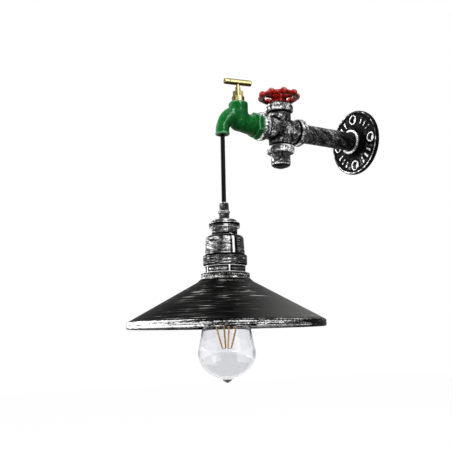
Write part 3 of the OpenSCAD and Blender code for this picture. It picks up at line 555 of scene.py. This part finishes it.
# The bonnet: a turned iron collar screwed into the top of the cross, finished like it, with the
# wheel's steel spindle through it. An open clip under it holds the spindle in.
def satin_steel(name, colour=(0.55, 0.55, 0.55)):
    """Turned steel: faint rings from the lathe and a little dirt in its corners."""
    f = Finish(name)
    rings = f.noise(6, 2, 0.5, f.scaled(f.place, (0.05, 0.05, 1)))
    dirt = (f.noise(0.5, 4) - f.wear() * 0.3).band(0.55, 0.8)
    return f.done({"Base Color": f.mix(dirt, colour, tuple(0.4 * c for c in colour)), "Metallic": 1.0,
                   "Roughness": rings * 0.2 + 0.2 + dirt * 0.15, "Normal": f.bump(rings, 0.02, 0.5)})


bright_steel = satin_steel("bright_steel")
bonnet = turned("bonnet_collar", [(3.06, 15), (10.65, 15), (10.65, 27.5, 0.1), (13, 27.5), (13, 29.1, 0.6),
                                  (7.5, 29.1, 0.1), (7.5, 29.5, 0.15), (3.06, 29.5, 0.2)], CROSS[:2])
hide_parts("valve_bonnet")
placed(bonnet, "arm", cross_finish)


def dress(material, *nodes):
    """Gives CAD nodes that keep their own mesh a finish."""
    for node in nodes:
        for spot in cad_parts[node].material_slots:
            spot.material = material


dress(bright_steel, "spindle_clip")
wheel_spindle = turned("wheel_spindle_rod", [(0, 12.7), (3, 12.7, 0.6), (3, 45, 0.6), (0, 45)], CROSS[:2])
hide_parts("wheel_spindle")
placed(wheel_spindle, "wheel", bright_steel)


# The hand-wheel: cast iron with nine lobes and three spokes, dipped in gloss red paint.
# A nut on the spindle's end holds it.
def gloss_paint(name, deep, full, worn, lumps, rough, peel=0.35):
    """Thick gloss paint on a casting: deep in its hollows and, as painted shade, where it faces down
    and away; full, as painted light, where it faces up and out.

    Edges, a few lumps and a narrow upright stripe carry pale painted glints in the colour worn, small
    and hard as on wet paint. lumps is the weight of the casting's lumps against the pores, and peel
    the depth of both in millimetres.
    """
    f = Finish(name)
    wear, facing = f.wear(), f.facing((0.2, -0.55, 0.75))
    # off and shine paint a highlight: a narrow upright stripe on the sides that face up.
    off = f.facing((0.53, 0.848, 0)) - 0.22
    shine = (1 - (off * off).band(0.0, 0.035)) * facing.band(0.1, 0.4)
    lump = f.noise(0.45, 3, 0.5)
    pores = f.noise(1.7, 2, 0.5)
    fleck = f.noise(0.8, 4, 0.65)
    # The mix to deep is thick paint in hollows and at random, and painted shade where the skin faces down and
    # away.
    pool_and_shade = (facing * -0.5 + f.noise(0.3, 4) * 1.1 - wear * 0.12).band(-0.05, 0.75)
    # The pale worn colour is put on as painted glints on edges, flecks and the highlight stripe.
    painted_glint = (wear * 0.14 + fleck * 1.2 + facing * 0.12 + shine * 0.3).band(1.0, 1.15)
    return f.done({"Base Color": f.mix(painted_glint, f.mix(pool_and_shade, full, deep), worn),
                   "Roughness": pores * 0.1 + rough + painted_glint * 0.1,
                   "Normal": f.bump(lump * lumps + pores * 0.25, peel, 0.7), "Specular IOR Level": 0.045})


# deep and full are the paint's shaded and lit tones, painted in, and the third colour is its painted glints.
red_paint = gloss_paint("red_paint", (0.045, 0.0006, 0.0003), (0.42, 0.009, 0.004), (0.6, 0.2, 0.17), 0.8, 0.1)
placed(casting("hand_wheel_casting", "hand_wheel", 0.4, 2, fill=90), "wheel", red_paint)
wheel_nut = turned("wheel_nut_hexagon", [
    (3.05, 41.2), (5.2, 41.2), (5.2, 43.6, 0.2), (4.3, 44.2, 0.2), (3.05, 44.2, 0.2)],
    CROSS[:2], 0.1, 96, flats=(41.2, 44.2, 9, -30))
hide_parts("wheel_nut")
placed(wheel_nut, "wheel", bright_steel)


# The tap body: one brass casting under thick green gloss paint, with a threaded inlet, a
# hexagon for the spanner, a barrel, an upright boss for the spindle and a spout bent down.
SPINDLE = np.array([0, -168.6, 0])
# As for the red: shaded and lit tones painted in, and pale painted glints.
green_paint = gloss_paint("green_paint", (0.0004, 0.05, 0.006), (0.005, 0.17, 0.026), (0.22, 0.45, 0.28),
                          1.0, 0.12, 0.5)


def tap_forms(points):
    """1 on the barrel, boss and spout, and 0 on the hexagon, the thread and the mouth."""
    behind = points[:, 1] - SPINDLE[1]
    return (behind < 15.5) & (points[:, 2] > -12.5)


placed(casting("tap_casting", "tap_body", 0.45, 2, fill=90, where=tap_forms), "arm", green_paint)


# The tap's head: a brass stuffing nut over yarn packing, the spindle and its cross bar.
# They are turned from rod and polished.
def polished(name, colour, deep):
    """Polished brass with painted reflections: bright where it faces the front, and dark brown, a painted dark
    reflection, where it faces above, below, the sides and behind, with cloudy tarnish too.
    """
    f = Finish(name)
    hair = f.noise(5, 3, 0.6, f.scaled(f.place, (1, 0.15, 1)))
    cloud = f.noise(0.5, 4, 0.6)
    left, front, over = [f.facing(way) for way in ((-0.53, -0.85, 0), (0.85, -0.53, 0), (0, 0, 1))]
    # The turned-away faces carry a painted dark reflection, and the clouds add tarnish.
    painted_dark_reflection = (over.band(0.45, 0.8) + (over * -1).band(0.25, 0.7) + left.band(0.3, 0.75)
           + (left * -1).band(0.5, 0.9) + (front * -1).band(-0.2, 0.6) * 0.4)
    tarnish_and_dark_reflection = (painted_dark_reflection * 0.65 + cloud * 0.9 - f.wear() * 0.12).band(0.34, 0.85)
    return f.done({"Base Color": f.mix(tarnish_and_dark_reflection, colour, deep), "Metallic": 1.0,
                   "Roughness": hair * 0.12 + 0.14 + tarnish_and_dark_reflection * 0.2, "Normal": f.bump(hair, 0.02, 0.4)})


# The brown second colour is the painted dark reflection and tarnish.
brass = polished("polished_brass", (0.56, 0.48, 0.2), (0.04, 0.028, 0.006))
gland = turned("gland_nut_turning", [
    (2.86, 15.8), (5.5, 15.8), (5.5, 22.6, 0.1), (6.8, 22.6, 0.1), (6.8, 28.6, 0.6), (6.35, 28.6, 0.1),
    (6.35, 34.2, 0.2), (5.2, 34.8, 0.3), (2.86, 34.8, 0.2)],
    SPINDLE[:2], 0.3, 144, flats=(28.6, 34.8, 11, -30))
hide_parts("gland_nut")
placed(gland, "arm", brass)
packing_finish = Finish("packing")
yarn = packing_finish.noise(2.2, 3, 0.6, packing_finish.scaled(packing_finish.place, (1, 1, 3)))
packing = packing_finish.done({"Base Color": packing_finish.mix(yarn, (0.3, 0.25, 0.17), (0.6, 0.54, 0.42)),
                               "Roughness": 0.8, "Normal": packing_finish.bump(yarn, 0.3)})
dress(packing, "gland_packing")
tap_spindle = turned("tap_spindle_turning", [
    (0, 9.4), (2.8, 9.4), (2.8, 11.2, 0.1), (4.4, 11.2, 0.2), (4.4, 12.6, 0.2), (2.8, 12.6, 0.1),
    (2.8, 39.85), (1.9, 39.85, 0.1), (1.9, 45.5, 0.2), (0, 45.5)], SPINDLE[:2])
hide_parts("tap_spindle")
placed(tap_spindle, "tap_handle", brass)


def cross_bar(name, sides=96):
    """Bar turned about a level axis: point (i, j) is s_i along it, (r_i cos a_j, r_i sin a_j) off it.

    The axis lies 12 degrees off the pipe.
    """
    path, wear = rounded([
        (0, -15.5), (3.25, -15.5, 1.3), (3.25, -9.9, 0.1), (2.75, -9.45, 0.2), (3.25, -9, 0.1), (3.25, 9, 0.1),
        (2.75, 9.45, 0.2), (3.25, 9.9, 0.1), (3.25, 15.5, 1.3), (0, 15.5)], 0.3)
    angle = np.linspace(0, 2 * np.pi, sides, endpoint=False)[None]
    run = path[:, 1:] + 0 * angle
    side, over = path[:, :1] * np.cos(angle), path[:, :1] * np.sin(angle)
    lean = np.radians(-12)
    grid = np.stack([side * np.cos(lean) - run * np.sin(lean),
                     side * np.sin(lean) + run * np.cos(lean), over], -1)
    place = [0, SPINDLE[1], 45.5]
    return shown(name, (grid + place) * MM, quads(len(path), sides, False), np.repeat(wear[:, None], sides, 1))


bar = cross_bar("cross_bar_turning")
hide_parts("tee_bar")
placed(bar, "tap_handle", brass)


# The bush in the spout's mouth is moulded black plastic. The leads are the same flex, out of sight:
# one comes through the arm from the wall, and one goes down into the holder.
dress(black_plastic, "cord_bush")
dress(sheath("arm_lead_sheath"), "arm_lead", "holder_lead")


# The cord grip: a tapered six-sided nut that squeezes the flex on a threaded nipple.
# Both are steel, blackened and rubbed.
grip_steel = worn_black("grip_steel", 0.1, 0.9, 0.9, (1, 1, 1.6), depth=0.06)
grip_nut = turned("grip_nut_turning", [(2.45, -100.4), (6.25, -100.4), (6.25, -98.1, 0.5), (5.75, -98.1, 0.1),
                                       (4.55, -89.3, 0.5), (2.45, -89.3, 0.3)], SPOUT[:2], 0.4, 144,
                  flats=(-98.1, -89.3, 10.2, -30))
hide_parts("grip_nut")
placed(grip_nut, "lamp_head", grip_steel)


def grip_thread(radius, height, angle):
    """Thread of 1.3 mm pitch with straight flanks, cut 0.45 mm deep into what is wider than 5 mm."""
    turn = np.abs((height / 1.3 + angle / 2 / np.pi) % 1 - 0.5) * 2
    return np.where((radius > 5) & (height < -101) & (height > -106.4), radius - 0.45 * (1 - turn), radius)


rows = [(5.45, z, 0.05) for z in np.arange(-106.8, -100.3, 0.2)]
grip_body = turned("grip_body_turning", [(2.45, -110.3), (4.05, -110.3), (4.05, -106.8, 0.1)] + rows +
                   [(4.05, -100.4, 0.05), (4.05, -95.8), (2.45, -95.8)], SPOUT[:2], 0.2, 96, wave=grip_thread)
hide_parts("grip_body")
placed(grip_body, "lamp_head", grip_steel)


# The holder's cap and shell: aluminium castings, black and brushed round with silver paint.
# The cap screws on the neck, and two ribs and a parting line run down the shell.
def brushed_casting(name, level, rub, fineness, seamed, column, joints):
    """Silver dry-brushed round the holder's axis over black: fine level streaks and pale edges.

    level is how much stays black, rub the weight of the wear and fineness how close the streaks lie.
    seamed, 0 or 1, adds painted light round the rib: a painted shadow line along the parting line
    before it, the rib silvered with a painted highlight, and painted shade beyond it. column is the
    strength of a painted highlight, a paler upright band in front, and joints are the heights at
    which painted shade lies in the gap between two pieces. The film is also painted lighter where
    the skin faces up and to the front. side, rib and beyond are distances from the planes through
    the axis in which the shadow line, the rib and the shade beyond it lie.
    """
    black, dusted, silver = (0.0015, 0.0015, 0.0017), (0.1, 0.1, 0.102), (0.8, 0.8, 0.8)
    f = Finish(name)
    wear = f.wear()
    offset = f.moved(f.place, tuple(SPOUT))
    across, deep, height = f.parts(offset)
    brush = f.noise(0.62 * fineness, 4, 0.65, f.scaled(offset, (0.16, 0.16, 1.9)), 0.2) * 5.4 - 2.7
    speck = f.noise(0.6, 4, 0.7) * 3.6 - 1.8
    dab = f.noise(0.13, 3, 0.6, f.scaled(offset, (1, 1, 1.3)), 0.4) * 3.2 - 1.6
    # off and band paint a highlight: a paler upright band on the side that faces the front.
    off = f.facing((0.53, 0.848, 0)) - 0.14
    band = (1 - (off * off).band(0.0, 0.09)) - 0.35
    side = across * 0.26 + deep * 0.97
    rib = across * 0.105 + deep * 0.995
    beyond = rib - 3.0
    # The dark line before the rib is a painted shadow, the pale rib a painted highlight over its silver, and
    # the dark beyond it painted shade.
    below = across.band(4, 8) * (height * -1).band(121.5, 122.5) * seamed
    rib_highlight = (1 - (rib * rib).band(0.8, 1.6)) * below
    # The film is painted lighter where the skin faces up and to the front, and along the highlight band.
    film = (brush * 0.9 + speck * 0.6 + dab * 0.45 + wear * rub + f.facing((-0.1, -0.5, 0.4)) * 0.5
            + band * column + rib_highlight * 2.2 - level)
    seam_shadow = (1 - (side * side).band(0.03, 0.22)) * across.band(4, 8) * seamed
    rib_shade = (1 - (beyond * beyond).band(1.2, 3.2)) * below * 0.9
    hollow = (wear * -1.2).band(0.2, 0.9).maximum(seam_shadow).maximum(rib_shade) * (1 - rib_highlight)
    # Painted shade in the gap between two pieces at each joint height.
    for joint in joints:
        gap = height - joint
        hollow = hollow.maximum(1 - (gap * gap).band(0.4, 1.7))
    grey, bright = film.band(-0.8, 0.3) * (1 - hollow), film.band(0.2, 0.8) * (1 - hollow)
    return f.done({"Base Color": f.mix(bright, f.mix(grey, black, dusted), silver), "Metallic": bright * 0.8,
                   "Roughness": speck * 0.06 + 0.4, "Normal": f.bump(film, 0.1, 0.8),
                   "Specular IOR Level": 0.01})


cast_holder = brushed_casting("cast_holder", 0.05, 0.18, 1.0, 1, 0.4, (-125.2, -144.0))
cap = turned("holder_cap_casting", [
    (4.15, -106.8, 0.3), (4.15, -108.8, 0.1), (11.05, -108.8, 0.1), (11.05, -112.4, 0.1),
    (13.35, -112.4, 0.1), (13.35, -116, 0.2), (15.9, -116, 0.5), (15.9, -110.4, 0.9), (13.3, -110.4, 0.3),
    (12.9, -108.4, 1.2), (11.2, -107.2, 1), (8.5, -106.8, 0.6)], SPOUT[:2])
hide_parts("holder_cap")
placed(cap, "lamp_head", brushed_casting("cap_holder", -0.1, 0.5, 0.7, 1, 1.0, (-112.4,)))
placed(casting("holder_shell_casting", "holder_shell", 0.45, 2), "lamp_head", cast_holder)


# The rings: a wide plain one against the shell and a ribbed one that locks the shade.
# Both turn on the threaded spigot.
plain = turned("plain_ring_turning", [(19.4, -154.2), (22.5, -154.2, 0.9), (22.5, -144.4, 0.9), (19.4, -144.4)],
               SPOUT[:2], 0.3, 160)
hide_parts("plain_ring")
placed(plain, "lamp_head", brushed_casting("ring_holder", 0.15, 0.2, 1.3, 0, 0.4, (-144.4, -154.4)))
lock_finish = brushed_casting("lock_holder", -0.1, 0.4, 1.0, 0, 0.3, (-163.0,))
placed(casting("lock_ring_casting", "lock_ring", 0.3, 1), "lamp_head", lock_finish)


# Inside the holder: a core of glazed porcelain, pressed and fired in one piece, with a brass
# screw shell and the centre contact fixed in it.
porcelain_finish = Finish("porcelain")
specks = porcelain_finish.noise(0.8, 4, 0.7).band(0.62, 0.72)
swell = porcelain_finish.noise(0.12, 2)
porcelain = porcelain_finish.done({
    "Base Color": porcelain_finish.mix(specks, (0.84, 0.83, 0.79), (0.66, 0.62, 0.54)),
    "Roughness": swell * 0.1 + 0.08, "Normal": porcelain_finish.bump(swell, 0.3, 0.4)})
dress(porcelain, "socket_core")
dress(brass, "socket_shell", "centre_contact")


# The shade: spun sheet steel with a collar, a shallow cone and an upright rim, painted black
# and dry-brushed round and round with silver. The clamp ring inside its collar holds it.
def spun_brushed(name):
    """Long silver streaks round the axis: few on the cone, dense on the collar and on the rim.

    The rim is painted lighter towards the left, as lit from there, and the cone has a painted grey
    sheen towards the right.
    """
    black, sheen_grey = (0.0008, 0.0008, 0.0008), (0.11, 0.11, 0.108)
    dusted, silver = (0.07, 0.07, 0.066), (0.86, 0.86, 0.86)
    f = Finish(name)
    across, deep, height = f.parts(f.moved(f.place, tuple(SPOUT)))
    radius = (across * across + deep * deep) ** 0.5
    ring = f.node("CombineXYZ", {}, {0: across / radius, 1: deep / radius, 2: 0.0})
    layers = []
    for around, along in ((1.3, 0.42), (2.6, 0.8), (1.3, 0.05)):
        lift = f.node("CombineXYZ", {}, {0: 0.0, 1: 0.0, 2: radius * along - height * along})
        layers.append(f.node("VectorMath", {"operation": "ADD"}, {0: f.scaled(ring, around), 1: lift}))
    brush, hair, patch = [f.noise(1.0, detail, 0.65, layer, 0.1) for detail, layer in zip((5, 3, 3), layers)]
    speck = f.noise(0.8, 5, 0.72) * 4.2 - 2.1
    rim = 1 - height.band(-211.4, -209.4)
    collar = 1 - radius.band(25.4, 27.4)
    left = across * -0.0053 - deep * 0.0085
    streak = brush * 6.4 - 3.2 + (hair * 4.4 - 2.2) + (patch * 2.0 - 1.0)
    solid = speck * 0.9 + (hair * 5.0 - 2.5) * (1 - collar * 0.6) + (patch * 2.4 - 1.2)
    band = rim.maximum(collar)
    aside = left - 0.05
    often = 1 - (aside * aside).band(0.0, 0.4)
    # The rim's silver grows towards the left: a painted highlight, as lit from there.
    silver_and_highlight = (solid * 1.5 + (left.band(0.1, 0.55) * 1.35 + 0.3) * rim + collar * 0.35
                - left.band(0.96, 1.0) * rim * 2.5)
    film = (streak * 1.15 + often * 0.7 - 1.45) * (1 - band) + silver_and_highlight * band + f.wear() * 0.5
    # The black cone turns grey towards the right: a painted sheen.
    painted_sheen = (0.1 - left).band(0.1, 0.95) * (1 - rim)
    outside = (f.facing((0, 0, 1)) + 0.3).band(0.0, 0.2).maximum(radius.band(99.1, 99.5))
    grey, bright = film.band(-0.5, 0.5) * outside, film.band(0.3, 1.2) * outside
    base = f.mix(painted_sheen, black, sheen_grey)
    return f.done({"Base Color": f.mix(bright, f.mix(grey, base, dusted), silver), "Metallic": bright * 0.75,
                   "Roughness": hair * 0.15 + 0.38, "Normal": f.bump(brush + hair * 0.6, 0.05, 0.6),
                   "Specular IOR Level": 0.01})


top, foot = -162.6, -217.6
outer = [(19.4, top, 0.2), (24.9, top, 1), (24.9, top - 5.2, 1), (28.7, top - 8.8, 3), (95.5, foot + 9.2, 3),
         (100, foot + 6.6, 2.4), (100, foot + 1, 1.1), (98.9, foot, 1), (97.8, foot + 1, 0.9)]
inner = [(99, foot + 2.2, 0.4), (99, foot + 6.0, 1.6), (95.2, foot + 8.1, 2.4), (28.3, top - 9.9, 2.4),
         (23.9, top - 6, 1), (23.9, top - 1, 0.5), (19.4, top - 1, 0.2)]
shade = turned("shade_spinning", outer + inner, SPOUT[:2], 0.5, 288)
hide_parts("shade")
placed(shade, "lamp_head", spun_brushed("brushed_black"))
dress(cast_holder, "clamp_ring")


# The bulb's cap: rolled aluminium with a screw thread, cemented to the envelope's neck.
# A black glass ring closes its foot and carries the contact.
cap_foot, cap_top = [corner[2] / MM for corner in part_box("bulb_cap")]


def screw_thread(radius, height, angle):
    """Rolled thread on the skirt of the cap, in and out: r - 0.55 (1 - cos(2 pi z / 3.6 - a)).

    That is a pitch of 3.6 mm and a depth of 1.1 mm, which fades out over 2 mm at either end.
    """
    swing = np.cos(2 * np.pi * height / 3.6 - angle)
    skirt = np.clip((height - cap_foot) / 2, 0, 1) * np.clip((cap_top - 1 - height) / 2, 0, 1)
    return radius - 0.55 * (1 - swing) * skirt


walls = np.arange(cap_foot, cap_top - 1.4, 0.4)
shoulder = [(13.1, cap_top - 1.2, 1), (10.7, cap_top, 0.5),
            (10.2, cap_top - 0.6, 0.3), (12.6, cap_top - 1.7, 0.8)]
cap_outline = [(13.1, z, 0.1) for z in walls] + shoulder + [(12.6, z, 0.1) for z in walls[::-1]]
bulb_cap = turned("bulb_cap_shell", cap_outline, SPOUT[:2], 0.1, 96, wave=screw_thread)
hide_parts("bulb_cap")
placed(bulb_cap, "bulb", satin_steel("plated_cap", (0.72, 0.72, 0.71)))
dress(moulded("black_glass", (0.008, 0.008, 0.012), 0.08), "bulb_insulator")
dress(bright_steel, "bulb_contact")


# The envelope: clear blown glass of even thickness with the sealed tip of its pump tube,
# on a pressed glass stem that carries the wires.
def blown_glass(name, tint, shaded=0.0):
    """Clear glass with long faint waves in its thickness.

    shaded adds what the envelope mirrors: a dark edge on the left, a pale window beside it
    and a greyer room below the widest place.
    """
    f = Finish(name)
    waves = f.noise(0.05, 2, 0.5, f.scaled(f.place, (1, 1, 0.4)))
    height = f.parts()[2]
    aside, ahead = f.facing((0.53, 0.848, 0)), f.facing((0.848, -0.53, 0))
    left, front = aside * -1, ahead.band(0, 0.1)
    # The dark edge, the pale window and the greyer room are painted reflections in the glass's colour.
    edge = (left.band(0.9, 0.985) + aside.band(0.94, 1.0) * 0.5) * shaded
    window = left.band(0.3, 0.42) * (1 - left.band(0.78, 0.84)) * front
    window = window * (height + 254).band(0, 3) * (height * -1 - 222 - left * 8).band(0, 3) * shaded
    room = (height * -1 - 240 - aside * aside * 9).band(0, 2) * front * shaded * 0.7
    colour = f.mix(room, tint, tuple(0.84 * t for t in tint))
    colour = f.mix(edge, f.mix(window, colour, (1.0, 1.0, 1.0)), (0.12, 0.14, 0.16))
    return f.done({"Base Color": colour, "Transmission Weight": 1.0, "Roughness": 0.0, "IOR": 1.45,
                   "Normal": f.bump(waves, 0.6, 0.25)})


def bent(points, steps):
    """Cubic curve P(t) = sum of B_k(t) p_k of four points, B_k being the cubic Bernstein weights,
    in so many steps without its last point."""
    share = np.arange(steps)[:, None] / steps
    weights = [(1 - share) ** 3, 3 * share * (1 - share) ** 2, 3 * share ** 2 * (1 - share), share ** 3]
    return sum(weight * np.array(point) for weight, point in zip(weights, points))


# The outline of the outside runs down the neck, the flank, the shoulder, the bowl and the tip.
# The inside lies a wall's thickness in from it and closes above the tip.
widest, low, wall, tip, tip_steps = -241.5, -267.5, 0.8, (0.02, -271.5), 12
sweep = np.radians(np.arange(0, 76, 2.5))
skin = np.concatenate([
    bent([(12.5, -157.6), (12.5, -159.6), (12.5, -161.6), (12.5, -163.6)], 6),
    bent([(12.5, -163.6), (16.4, -184.6), (24.6, -215.5), (27.2, -232.4)], 44),
    bent([(27.2, -232.4), (28, -236.5), (29, -239), (29, widest)], 14),
    np.column_stack([29 * np.cos(sweep), widest - 26 * np.sin(sweep)]),
    bent([(7, -266.4), (4.9, -267.9), (3.2, -271.5), tip], tip_steps), [tip]])
step = np.gradient(skin, axis=0)
inward = np.column_stack([step[:, 1], -step[:, 0]]) / np.linalg.norm(step, axis=1)[:, None]
hollow = (skin + wall * inward)[:-tip_steps - 1]
envelope = turned("glass_envelope", [*map(tuple, skin[::-1]), *map(tuple, hollow), (tip[0], low + wall)],
                  SPOUT[:2], 0.01, 144)
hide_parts("bulb_glass")
placed(envelope, "bulb", blown_glass("clear_glass", (0.9, 0.905, 0.93), 1.0))
dress(blown_glass("stem_glass", (0.9, 0.9, 0.93)), "bulb_stem")


# The filaments: four coated sticks that lean together, with nickel wires from the stem.
amber_finish = Finish("amber_filament")
beads = amber_finish.noise(1.2, 3)
amber = amber_finish.done({"Base Color": amber_finish.mix(beads, (0.85, 0.36, 0.03), (1.0, 0.62, 0.14)),
                           "Roughness": 0.4, "Normal": amber_finish.bump(beads, 0.1)})
dress(amber, "filaments")
dress(bright_steel, "filament_wires")
